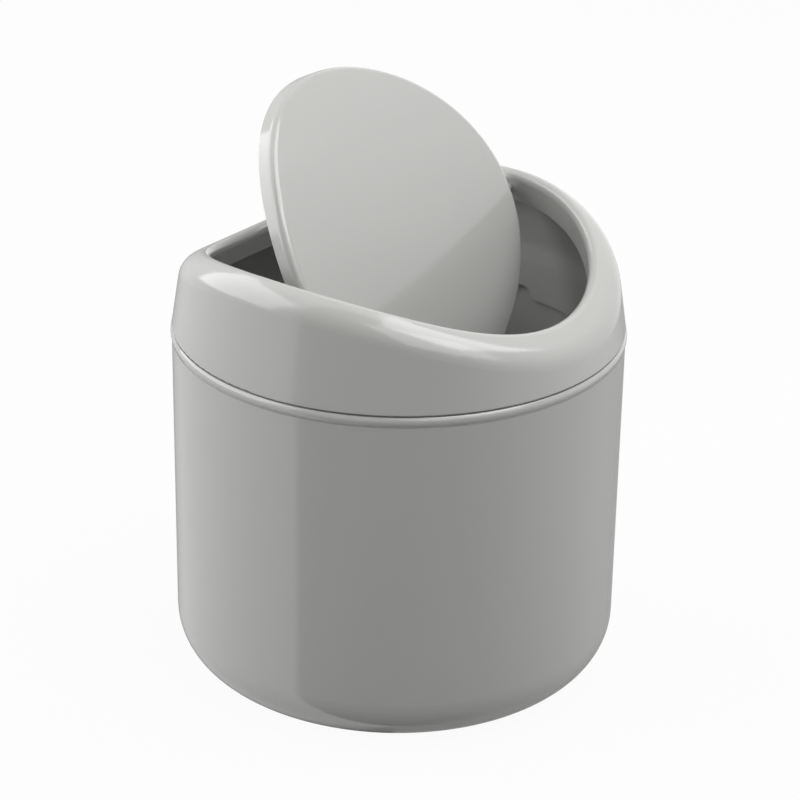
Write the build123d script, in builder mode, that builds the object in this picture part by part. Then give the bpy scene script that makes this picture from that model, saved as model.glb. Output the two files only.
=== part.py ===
"""Countertop bin with a swing lid: a tub, a push-on hood with a saddle-shaped mouth, and a flap
that see-saws in the mouth on two moulded pins. Millimetres, +Z up, origin at the middle of the base.
The swing axis lies along X, and the flap is drawn as it stands open."""

from build123d import *
from math import cos, radians, tan
import os

# Driving dimensions: tub
tub_height = 112.7  # top face of the rim bead
tub_radius = 69.9  # outside of the straight wall
tub_wall = 1.8
tub_floor = 2.2
base_corner = 16.4  # large round between wall and base
foot_width = 6.5  # flat ring that the bin stands on
foot_recess = 1.2  # how far the middle of the base is lifted
bead_height = 2.9
bead_proud = 0.4  # how far the bead stands out from the wall
bead_bulge = 0.7  # how far its outer face curves out between its edges
groove_height = 0.35  # shadow groove under the bead
groove_depth = 0.25

# Driving dimensions: hood
hood_height = 32.7  # from its bottom edge to the top of the rim over the swing axis
hood_lean = 8.75  # lean of the hood wall, degrees from upright
hood_wall = 2.1
hood_edge_round = 0.4
seam_gap = 0.5  # shadow line between bead and hood
seat_width = 0.8  # ring of the hood that stands on the tub's rim
rim_width = 7.4  # of the rim's top, from the hood wall in to the mouth
mouth_dip = 15.5  # how far the saddle falls from the swing axis to the mouth's low ends
mouth_round = 2.5
shoulder_round = 8.8
collar_wall = 2.0
collar_depth = 9.5  # from the rim down to the collar's lower edge, over the swing axis
collar_end_depth = 9.8  # the same at the mouth's low ends
skirt_depth = 13.2  # how far the hood plugs into the tub
skirt_wall = 1.6
skirt_gap = 0.3  # between skirt and tub
skirt_lead = 0.6  # chamfer that leads the skirt in
ledge_rise = 6.0  # slope from the skirt out to the hood wall
ledge_round = 8.0
notch_width = 8.0  # relief in the skirt's lower edge, under each pin
notch_height = 4.0
notch_round = 3.0

# Driving dimensions: flap and its pins
flap_end_gap = 1.5  # from the flap to the mouth at its low ends
flap_side_gap = 4.2  # from the flap to the mouth at the pins
flap_sink = 0.9  # how far the closed flap lies below the top of the rim
flap_end_rise = 1.9  # how much less the flap's arch falls than the rim's
flap_wall = 2.0
flap_skirt = 5.7  # height of the flap's edge
flap_round = 2.4
pin_depth = 5.0  # of the swing axis below the top of the flap
pin_radius = 1.2
pin_clearance = 0.05
pin_reach = 3.6  # how far the pin runs into the lug
pin_play = 0.3  # at the end of each pin, which keeps the flap in the middle
pin_chamfer = 0.5
pin_root = 8.0  # length of the rib that carries the pin under the flap
ear_radius = 2.6  # rounded ear that holds the pin at the flap's lower edge
ear_inset = 0.2
lug_radius = 3.4
lug_thickness = 4.8
snap_slot = 2.1  # narrower than the pin, so that the pin snaps past it
open_angle = 63.3  # how far the flap stands open


def arch_radius(half_span, fall):
    """Radius of an arch that falls this far from its middle to either end."""
    return (half_span**2 + fall**2) / (2 * fall)


# Sizes that follow from these
tub_inside = tub_radius - tub_wall
foot_radius = tub_radius - base_corner - foot_width
bead_bottom = tub_height - bead_height
bead_middle = tub_height - bead_height / 2
bead_radius = tub_radius + bead_proud
bead_edge = bead_radius - bead_bulge
groove_bottom = bead_bottom - groove_height
groove_radius = tub_radius - groove_depth
hood_bottom = tub_height + seam_gap
hood_radius = tub_radius
mouth_peak = hood_bottom + hood_height
mouth_radius = hood_radius - hood_height * tan(radians(hood_lean)) - rim_width
mouth_arch_radius = arch_radius(mouth_radius, mouth_dip)
collar_peak = mouth_peak - collar_depth
collar_arch_radius = arch_radius(mouth_radius, mouth_dip + collar_end_depth - collar_depth)
hood_crown = mouth_peak + shoulder_round
crown_radius = hood_radius - (hood_crown - hood_bottom) * tan(radians(hood_lean))
wall_across = hood_wall / cos(radians(hood_lean))
seat_radius = tub_inside + seat_width
skirt_bottom = tub_height - skirt_depth
skirt_outside = tub_inside - skirt_gap
skirt_inside = skirt_outside - skirt_wall
ledge_top = tub_height + ledge_rise
ledge_radius = hood_radius - wall_across - (ledge_top - hood_bottom) * tan(radians(hood_lean))
flap_half_length = mouth_radius - flap_end_gap
flap_half_width = mouth_radius - flap_side_gap
flap_peak = mouth_peak - flap_sink
flap_arch_radius = arch_radius(flap_half_length, mouth_dip - flap_end_rise)
swing_height = flap_peak - pin_depth
rib_height = pin_depth - flap_wall / 2  # from the pin up into the flap's plate
pin_length = mouth_radius + pin_reach
swing_axis = Axis((0, 0, swing_height), (1, 0, 0))


def arch(radius, peak, mode=Mode.ADD):
    """A long cylinder along X, whose highest line lies at the given peak."""
    with Locations((0, 0, peak - radius)):
        return Cylinder(radius, 4 * hood_radius, rotation=(0, 90, 0), mode=mode)


def face_radius(face):
    return face.radius


# Tub: the outside is revolved, then the inside and the lifted middle of the base are taken out.
with BuildPart() as tub:
    with BuildSketch(Plane.XZ) as tub_outside:
        with BuildLine():
            Polyline(
                (0, 0),
                (tub_radius, 0),
                (tub_radius, groove_bottom),
                (groove_radius, groove_bottom),
                (groove_radius, bead_middle),
                (0, bead_middle),
                close=True,
            )
        make_face()
        fillet(tub_outside.vertices().group_by(Axis.Y)[0].sort_by(Axis.X)[-1], base_corner)
    revolve(axis=Axis.Z)
    with BuildSketch(Plane.XZ):
        with BuildLine():
            Polyline(
                (bead_edge, bead_bottom),
                (tub_inside, bead_bottom),
                (tub_inside, tub_height),
                (bead_edge, tub_height),
            )
            ThreePointArc(
                (bead_edge, tub_height),
                (bead_radius, bead_middle),
                (bead_edge, bead_bottom),
            )
        make_face()
    revolve(axis=Axis.Z)
    with BuildSketch(Plane.XZ) as tub_hollow:
        with BuildLine():
            Polyline(
                (0, foot_recess + tub_floor),
                (tub_inside, foot_recess + tub_floor),
                (tub_inside, tub_height),
                (0, tub_height),
                close=True,
            )
        make_face()
        fillet(tub_hollow.vertices().group_by(Axis.Y)[0].sort_by(Axis.X)[-1], base_corner - tub_wall)
    revolve(axis=Axis.Z, mode=Mode.SUBTRACT)
    with BuildSketch(Plane.XZ):
        with BuildLine():
            Polyline(
                (0, 0),
                (foot_radius, 0),
                (foot_radius - foot_recess, foot_recess),
                (0, foot_recess),
                close=True,
            )
        make_face()
    revolve(axis=Axis.Z, mode=Mode.SUBTRACT)

# Inside of the hood: all the room within its wall, under the saddle.
with BuildPart() as hood_inside:
    with BuildSketch(Plane.XZ) as hood_room:
        with BuildLine():
            Polyline(
                (0, skirt_bottom),
                (skirt_inside, skirt_bottom),
                (skirt_inside, tub_height),
                (ledge_radius, ledge_top),
                (crown_radius - wall_across, hood_crown),
                (0, hood_crown),
                close=True,
            )
        make_face()
        ledge_foot = hood_room.vertices().group_by(Axis.X)[-2].sort_by(Axis.Y)[-1]
        fillet([ledge_foot, hood_room.vertices().sort_by(Axis.X)[-1]], ledge_round)
    revolve(axis=Axis.Z)
    arch(mouth_arch_radius - hood_wall, mouth_peak - hood_wall, Mode.INTERSECT)
    fillet(hood_inside.faces().sort_by(Axis.Z)[-1].edges(), shoulder_round - hood_wall)

# The part of that room below the collar's lower edge.
with BuildPart() as room_below_collar:
    add(hood_inside.part)
    arch(collar_arch_radius, collar_peak, Mode.INTERSECT)

# The part of it behind the collar, with the corner under the rim rounded to keep the wall even.
with BuildPart() as room_behind_collar:
    add(hood_inside.part)
    with BuildSketch(Plane.XY.offset(skirt_bottom)):
        Circle(mouth_radius + collar_wall)
    extrude(amount=hood_crown - skirt_bottom, mode=Mode.SUBTRACT)
    collar_back = room_behind_collar.faces().filter_by(GeomType.CYLINDER).sort_by(face_radius)[0]
    fillet(collar_back.edges().sort_by(Axis.Z)[-1], mouth_round - hood_wall)

# Hood: skirt, seat and wall in one turned shape, cut to the saddle, bored for the mouth and hollowed.
# The wall and the bore start at the low ends of the mouth, where the rim is widest.
with BuildPart() as hood:
    with BuildSketch(Plane.YZ) as hood_outside:
        with BuildLine():
            Polyline(
                (0, skirt_bottom),
                (skirt_outside - skirt_lead, skirt_bottom),
                (skirt_outside, skirt_bottom + skirt_lead),
                (skirt_outside, tub_height),
                (seat_radius, tub_height),
                (seat_radius, hood_bottom),
                (hood_radius, hood_bottom),
                (crown_radius, hood_crown),
                (0, hood_crown),
                close=True,
            )
        make_face()
        fillet(hood_outside.vertices().sort_by(Axis.X)[-1], hood_edge_round)
    revolve(axis=Axis.Z)
    arch(mouth_arch_radius, mouth_peak, Mode.INTERSECT)
    fillet(hood.faces().sort_by(Axis.Z)[-1].edges(), shoulder_round)
    with BuildSketch(Plane((0, 0, skirt_bottom), x_dir=(0, 1, 0))):
        Circle(mouth_radius)
    extrude(amount=hood_crown - skirt_bottom, mode=Mode.SUBTRACT)
    mouth_bore = hood.faces().filter_by(GeomType.CYLINDER).sort_by(face_radius)[0]
    fillet(mouth_bore.edges().sort_by(Axis.Z)[-1], mouth_round)
    add(room_behind_collar.part, mode=Mode.SUBTRACT)
    add(room_below_collar.part, mode=Mode.SUBTRACT)
    for side in (Plane.YZ, Plane.YZ.rotated((0, 0, 180))):
        with BuildSketch(side.offset(mouth_radius + collar_wall / 2)):
            with Locations((0, swing_height)):
                Circle(lug_radius)
        extrude(amount=lug_thickness - collar_wall / 2)
        with BuildSketch(side.offset(mouth_radius / 2)):
            with Locations((0, swing_height)):
                Circle(pin_radius + pin_clearance)
            with Locations((0, swing_height)):
                Rectangle(snap_slot, 2 * lug_radius, align=(Align.CENTER, Align.MAX))
        extrude(amount=pin_length + pin_play - mouth_radius / 2, mode=Mode.SUBTRACT)
        with BuildSketch(side.offset(mouth_radius)):
            with Locations((0, skirt_bottom)):
                RectangleRounded(notch_width, 2 * notch_height, notch_round)
        extrude(amount=hood_radius - mouth_radius, mode=Mode.SUBTRACT)

# Flap: drawn closed, as an oval plate that follows its own arch, then swung open about its pins.
with BuildPart() as flap_room:
    with BuildSketch(Plane.XY.offset(hood_bottom)):
        Ellipse(flap_half_width - flap_wall, flap_half_length - flap_wall)
    extrude(amount=flap_peak - hood_bottom)
    arch(flap_arch_radius - flap_wall, flap_peak - flap_wall, Mode.INTERSECT)

with BuildPart() as flap:
    with BuildSketch(Plane.XY.offset(hood_bottom)):
        Ellipse(flap_half_width, flap_half_length)
    extrude(amount=flap_peak - hood_bottom)
    arch(flap_arch_radius, flap_peak, Mode.INTERSECT)
    fillet(flap.faces().sort_by(Axis.Z)[-1].edges(), flap_round)
    arch(flap_arch_radius, flap_peak - flap_skirt, Mode.SUBTRACT)
    add(flap_room.part, mode=Mode.SUBTRACT)
    for side in (Plane.YZ, Plane.YZ.rotated((0, 0, 180))):
        with BuildSketch(side.offset(flap_half_width - pin_root)):
            with Locations((0, swing_height)):
                Circle(pin_radius)
                Rectangle(flap_wall, rib_height, align=(Align.CENTER, Align.MIN))
        extrude(amount=pin_root - flap_wall / 2)
        with BuildSketch(side.offset(flap_half_width - flap_wall)):
            with Locations((0, swing_height)):
                Circle(ear_radius)
        extrude(amount=flap_wall - ear_inset)
        with BuildSketch(side.offset(flap_half_width - flap_wall)):
            with Locations((0, swing_height)):
                Circle(pin_radius)
        extrude(amount=pin_length - flap_half_width + flap_wall)
        chamfer(flap.faces().sort_by(Axis(side.location))[-1].edges(), pin_chamfer)

tub.part.label = "tub"
hood.part.label = "hood"
flap.part = flap.part.rotate(swing_axis, open_angle)
flap.part.label = "flap"

os.makedirs("parts", exist_ok=True)
export_step(tub.part, "parts/tub.step")
export_step(hood.part, "parts/hood.step")
export_step(flap.part, "parts/flap.step")
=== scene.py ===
import math

import bpy
from mathutils import Matrix, Vector

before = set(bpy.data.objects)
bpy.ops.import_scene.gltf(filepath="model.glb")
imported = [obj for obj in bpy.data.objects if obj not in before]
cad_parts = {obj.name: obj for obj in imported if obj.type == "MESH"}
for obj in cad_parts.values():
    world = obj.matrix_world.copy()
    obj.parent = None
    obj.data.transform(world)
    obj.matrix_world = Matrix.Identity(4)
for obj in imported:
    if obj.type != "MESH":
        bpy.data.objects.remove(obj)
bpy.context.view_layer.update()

# Lengths are metres. An azimuth of 0 is -Y, and it grows towards +X. A bearing is an azimuth counted
# from the camera's, in degrees, and is positive to the camera's right.

# The camera stands where the photograph was taken from, and looks at a point inside the bin.
LOOK_AT = Vector((0, 0, 0.0665))
CAMERA_AZIMUTH = math.radians(-53.27)
CAMERA_ELEVATION = math.radians(26.185)
CAMERA_DISTANCE = 0.88658
CAMERA_ROLL = math.radians(0.897)
CLIP_START = 0.01
SENSOR_WIDTH = 36  # millimetres, like the focal length below
FOCAL_LENGTH = 126.36
SHIFT_X = 0.0040
SHIFT_Y = 0.0696

# The moulded plastic: a light, faintly warm grey that drifts between these two linear colours.
GREY = (0.326, 0.326, 0.317)
GREY_WARM = (0.338, 0.337, 0.326)
PLASTIC_IOR = 1.54
ROUGHNESS = {"tub": 0.10, "hood": 0.15, "flap": 0.11}
ROUGHNESS_DRIFT = 0.2  # share of it that the roughness may rise or fall by
MOTTLE_SCALE = 24
MOTTLE_DETAIL = 4
WIPE_SCALE = 60
WIPE_DETAIL = 6
PEEL_SCALE = 420
PEEL_DETAIL = 2
PEEL_STRENGTH = 0.05
PEEL_DEPTH = 0.0002

WHITE = (1, 1, 1, 1)
FLOOR_HALF = 4.0
FLOOR_GREY = (0.4, 0.4, 0.4, 1)
FLOOR_ROUGHNESS = 0.9
FLOOR_WHITE_SHARE = 0.95  # the rest of what the camera sees of the floor takes the bin's shadow

SOFT_BOX_DISTANCE = 1.3

# Brightness of the studio round the bin, by bearing: a sweep low down, and walls above it. The side
# that the camera stands on is dark, and that dark side ends sharply on the left.
SWEEP = (
    (-180, 0.1),
    (-145, 0.8),
    (-53, 1.1),
    (-50, 0.0),
    (50, 0.0),
    (120, 0.5),
    (155, 0.4),
)
WALLS = (
    (-180, 0.4),
    (-140, 1.1),
    (-53, 1.2),
    (-50, 0.0),
    (30, 0.0),
    (100, 1.1),
    (150, 1.2),
)
# The elevations between which the sweep passes into the walls.
SWEEP_TOP = math.radians(-20)
WALLS_FOOT = math.radians(-14)


def direction(azimuth, elevation):
    """The unit vector towards a place at these angles, in radians."""
    flat = math.cos(elevation)
    return Vector((math.sin(azimuth) * flat, -math.cos(azimuth) * flat, math.sin(elevation)))


def plastic(name, roughness):
    """Glossy injection-moulded plastic: faint mottling, uneven gloss and a fine orange-peel skin."""
    material = bpy.data.materials.new(name)
    material.use_nodes = True
    nodes = material.node_tree.nodes
    link = material.node_tree.links.new
    shader = nodes["Principled BSDF"]
    shader.inputs["IOR"].default_value = PLASTIC_IOR
    place = nodes.new("ShaderNodeTexCoord")

    def noise(scale, detail):
        texture = nodes.new("ShaderNodeTexNoise")
        texture.inputs["Scale"].default_value = scale
        texture.inputs["Detail"].default_value = detail
        link(place.outputs["Object"], texture.inputs["Vector"])
        return texture.outputs["Fac"]

    tint = nodes.new("ShaderNodeMix")
    tint.data_type = "RGBA"
    tint.inputs["A"].default_value = (*GREY, 1)
    tint.inputs["B"].default_value = (*GREY_WARM, 1)
    link(noise(MOTTLE_SCALE, MOTTLE_DETAIL), tint.inputs["Factor"])
    link(tint.outputs["Result"], shader.inputs["Base Color"])

    gloss = nodes.new("ShaderNodeMapRange")
    gloss.inputs["To Min"].default_value = roughness * (1 - ROUGHNESS_DRIFT)
    gloss.inputs["To Max"].default_value = roughness * (1 + ROUGHNESS_DRIFT)
    link(noise(WIPE_SCALE, WIPE_DETAIL), gloss.inputs["Value"])
    link(gloss.outputs["Result"], shader.inputs["Roughness"])

    skin = nodes.new("ShaderNodeBump")
    skin.inputs["Strength"].default_value = PEEL_STRENGTH
    skin.inputs["Distance"].default_value = PEEL_DEPTH
    link(noise(PEEL_SCALE, PEEL_DETAIL), skin.inputs["Height"])
    link(skin.outputs["Normal"], shader.inputs["Normal"])
    return material


def stage_floor():
    """A wide white floor. It looks white to the camera, and still takes the bin's soft shadow."""
    mesh = bpy.data.meshes.new("floor")
    corners = [
        (-FLOOR_HALF, -FLOOR_HALF, 0),
        (FLOOR_HALF, -FLOOR_HALF, 0),
        (FLOOR_HALF, FLOOR_HALF, 0),
        (-FLOOR_HALF, FLOOR_HALF, 0),
    ]
    mesh.from_pydata(corners, [], [(0, 1, 2, 3)])
    floor = bpy.data.objects.new("floor", mesh)
    bpy.context.scene.collection.objects.link(floor)
    # The bin's gloss reflects the studio's sweep instead of the floor.
    floor.visible_glossy = False

    material = bpy.data.materials.new("white_floor")
    material.use_nodes = True
    nodes = material.node_tree.nodes
    link = material.node_tree.links.new
    paper = nodes["Principled BSDF"]
    paper.inputs["Base Color"].default_value = FLOOR_GREY
    paper.inputs["Roughness"].default_value = FLOOR_ROUGHNESS
    paper.inputs["Specular IOR Level"].default_value = 0.0
    glow = nodes.new("ShaderNodeEmission")
    glow.inputs["Color"].default_value = WHITE
    glow.inputs["Strength"].default_value = 1.0
    path = nodes.new("ShaderNodeLightPath")
    share = nodes.new("ShaderNodeMath")
    share.operation = "MULTIPLY"
    share.inputs[1].default_value = FLOOR_WHITE_SHARE
    link(path.outputs["Is Camera Ray"], share.inputs[0])
    mix = nodes.new("ShaderNodeMixShader")
    link(share.outputs[0], mix.inputs["Fac"])
    link(paper.outputs["BSDF"], mix.inputs[1])
    link(glow.outputs["Emission"], mix.inputs[2])
    link(mix.outputs["Shader"], nodes["Material Output"].inputs["Surface"])
    mesh.materials.append(material)


def soft_box(name, bearing, elevation, width, height, power):
    """A soft light that faces the bin, unseen by the camera. Angles are degrees, and power is watts."""
    lamp = bpy.data.lights.new(name, "AREA")
    lamp.shape = "RECTANGLE"
    lamp.size = width
    lamp.size_y = height
    lamp.energy = power
    box = bpy.data.objects.new(name, lamp)
    bpy.context.scene.collection.objects.link(box)
    towards = direction(CAMERA_AZIMUTH + math.radians(bearing), math.radians(elevation))
    box.location = LOOK_AT + SOFT_BOX_DISTANCE * towards
    box.rotation_euler = (LOOK_AT - box.location).to_track_quat("-Z", "Y").to_euler()
    box.visible_camera = False


def studio_world():
    """White to the camera. To the bin's gloss and all other light, the studio's sweep and walls."""
    world = bpy.data.worlds.new("studio")
    bpy.context.scene.world = world
    world.use_nodes = True
    nodes = world.node_tree.nodes
    link = world.node_tree.links.new
    place = nodes.new("ShaderNodeTexCoord")
    turn = nodes.new("ShaderNodeVectorRotate")
    turn.rotation_type = "Z_AXIS"
    # After this turn the camera stands at +X, and the seam of the bearing lies behind the bin.
    turn.inputs["Angle"].default_value = math.pi / 2 - CAMERA_AZIMUTH
    link(place.outputs["Generated"], turn.inputs["Vector"])
    around = nodes.new("ShaderNodeTexGradient")
    around.gradient_type = "RADIAL"
    link(turn.outputs["Vector"], around.inputs["Vector"])

    def ring(rungs):
        """The brightness all round, from pairs of bearing and brightness."""
        ramp = nodes.new("ShaderNodeValToRGB")
        stops = ramp.color_ramp.elements
        while len(stops) < len(rungs):
            stops.new(0.5)  # moved to its place below
        for stop, (bearing, brightness) in zip(stops, rungs):
            # The gradient runs from 0 at -180 degrees to 1 at 180 degrees.
            stop.position = bearing / 360 + 0.5
            stop.color = (brightness, brightness, brightness, 1)
        link(around.outputs["Fac"], ramp.inputs["Fac"])
        return ramp.outputs["Color"]

    split = nodes.new("ShaderNodeSeparateXYZ")
    link(place.outputs["Generated"], split.inputs["Vector"])
    rise = nodes.new("ShaderNodeMapRange")
    rise.inputs["From Min"].default_value = math.sin(SWEEP_TOP)
    rise.inputs["From Max"].default_value = math.sin(WALLS_FOOT)
    link(split.outputs["Z"], rise.inputs["Value"])
    join = nodes.new("ShaderNodeMix")
    join.data_type = "RGBA"
    link(rise.outputs["Result"], join.inputs["Factor"])
    link(ring(SWEEP), join.inputs["A"])
    link(ring(WALLS), join.inputs["B"])
    room = nodes["Background"]
    link(join.outputs["Result"], room.inputs["Color"])

    white = nodes.new("ShaderNodeBackground")
    white.inputs["Color"].default_value = WHITE
    white.inputs["Strength"].default_value = 1.0
    path = nodes.new("ShaderNodeLightPath")
    seen = nodes.new("ShaderNodeMath")
    seen.operation = "MAXIMUM"
    link(path.outputs["Is Camera Ray"], seen.inputs[0])
    link(path.outputs["Is Transmission Ray"], seen.inputs[1])
    mix = nodes.new("ShaderNodeMixShader")
    link(seen.outputs[0], mix.inputs["Fac"])
    link(room.outputs["Background"], mix.inputs[1])
    link(white.outputs["Background"], mix.inputs[2])
    link(mix.outputs["Shader"], nodes["World Output"].inputs["Surface"])


def photo_camera():
    """The camera of the photograph, as the scene's camera."""
    lens = bpy.data.cameras.new("camera")
    lens.sensor_width = SENSOR_WIDTH
    lens.lens = FOCAL_LENGTH
    lens.shift_x = SHIFT_X
    lens.shift_y = SHIFT_Y
    lens.clip_start = CLIP_START
    camera = bpy.data.objects.new("camera", lens)
    bpy.context.scene.collection.objects.link(camera)
    eye = LOOK_AT + CAMERA_DISTANCE * direction(CAMERA_AZIMUTH, CAMERA_ELEVATION)
    aim = (LOOK_AT - eye).to_track_quat("-Z", "Y").to_matrix().to_4x4()
    camera.matrix_world = Matrix.Translation(eye) @ aim @ Matrix.Rotation(CAMERA_ROLL, 4, "Z")
    bpy.context.scene.camera = camera


for node, roughness in ROUGHNESS.items():
    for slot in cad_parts[node].material_slots:
        slot.material = plastic(node + "_gloss_plastic", roughness)

stage_floor()
soft_box("left_box", bearing=-98, elevation=28, width=1.7, height=1.2, power=18)
soft_box("right_box", bearing=82, elevation=61, width=1.2, height=0.8, power=12)
soft_box("front_box", bearing=38, elevation=44, width=1.2, height=0.9, power=7.5)
studio_world()
photo_camera()

bpy.context.scene.view_settings.view_transform = "Standard"
